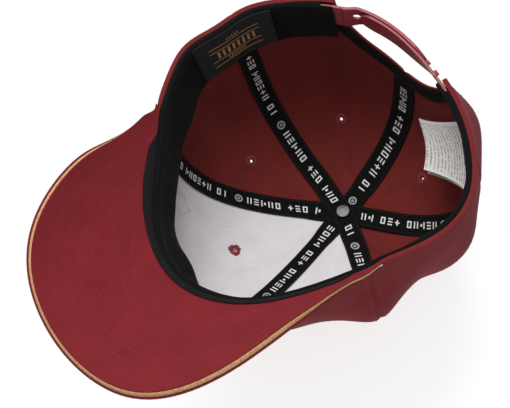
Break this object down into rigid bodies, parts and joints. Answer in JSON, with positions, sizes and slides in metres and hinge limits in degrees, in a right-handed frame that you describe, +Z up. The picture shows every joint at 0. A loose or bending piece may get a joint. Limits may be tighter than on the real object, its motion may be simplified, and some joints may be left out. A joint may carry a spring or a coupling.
{
  "type": "bump cap",
  "caption": "Soft peaked cap with a curved visor, taped seams, a sweatband and a snap closure over an arched gap at the back.",
  "frame": {"origin": "centre of the cap's box, on the surface it stands on", "axes": "+Z up through the crown, -Y towards the visor, +X towards the wearer's left"},
  "size_m": [0.1852, 0.2726, 0.1307],
  "materials": {
    "crown_cloth": "cotton twill, matte",
    "visor_cloth": "cotton twill, matte",
    "buckram": "stiffened woven lining, matte",
    "seam_tape": null,
    "sweatband_cloth": "brushed twill, matte",
    "visor_board": "moulded polyethylene board",
    "cork": "agglomerated cork, matte",
    "strap_plastic": "soft moulded plastic, semi-gloss",
    "rivet_steel": "plated steel, polished",
    "thread": "embroidered thread",
    "label_satin": "satin ribbon with thin gold lines",
    "care_ribbon": "printed satin ribbon, matte"
  },
  "bodies": {
    "cap": {"front_left_panel": "crown_cloth", "side_left_panel": "crown_cloth", "back_left_panel": "crown_cloth", "front_right_panel": "crown_cloth", "side_right_panel": "crown_cloth", "back_right_panel": "crown_cloth", "buckram_left": "buckram", "buckram_right": "buckram", "sweatband": "sweatband_cloth", "seam_tape_left_front": "seam_tape", "seam_tape_front": "seam_tape", "seam_tape_right_back": "seam_tape", "seam_tape_back": "seam_tape", "seam_tape_cross": "seam_tape", "closure_binding": "seam_tape", "visor_under_cover": "visor_cloth", "visor_board": "visor_board", "visor_top_cover": "visor_cloth", "visor_edge_strip": "cork", "top_button": "crown_cloth", "button_rivet": "rivet_steel", "eyelet_front_left": "thread", "eyelet_side_left": "thread", "eyelet_back_left": "thread", "eyelet_front_right": "thread", "eyelet_side_right": "thread", "eyelet_back_right": "thread", "strap_anchor_left": "strap_plastic", "strap_anchor_right": "strap_plastic", "size_label": "label_satin", "woven_side_label": "label_satin"},
    "outer_strap": {"snap_strap_holes": "strap_plastic"},
    "inner_strap": {"snap_strap_pegs": "strap_plastic"},
    "care_label": {"care_label_back_leaf": "care_ribbon", "care_label_front_leaf": "care_ribbon"}
  },
  "joints": [
    {"name": "outer_strap_open", "type": "hinge", "parent": "cap", "child": "outer_strap", "pos_m": [0.04122, 0.12305, 0.02031], "axis": [0, 0, -1], "range_deg": [0, 55], "stiffness_Nm_per_rad": 0.01},
    {"name": "inner_strap_open", "type": "hinge", "parent": "cap", "child": "inner_strap", "pos_m": [-0.02859, 0.11434, 0.01218], "axis": [0, -0.1703, -0.9854], "range_deg": [0, 40], "stiffness_Nm_per_rad": 0.01},
    {"name": "care_label_flip", "type": "hinge", "parent": "cap", "child": "care_label", "pos_m": [-0.0522, 0.1056, 0.03646], "axis": [0.857, 0.5078, -0.0877], "range_deg": [0, 60], "stiffness_Nm_per_rad": 0.002}
  ]
}
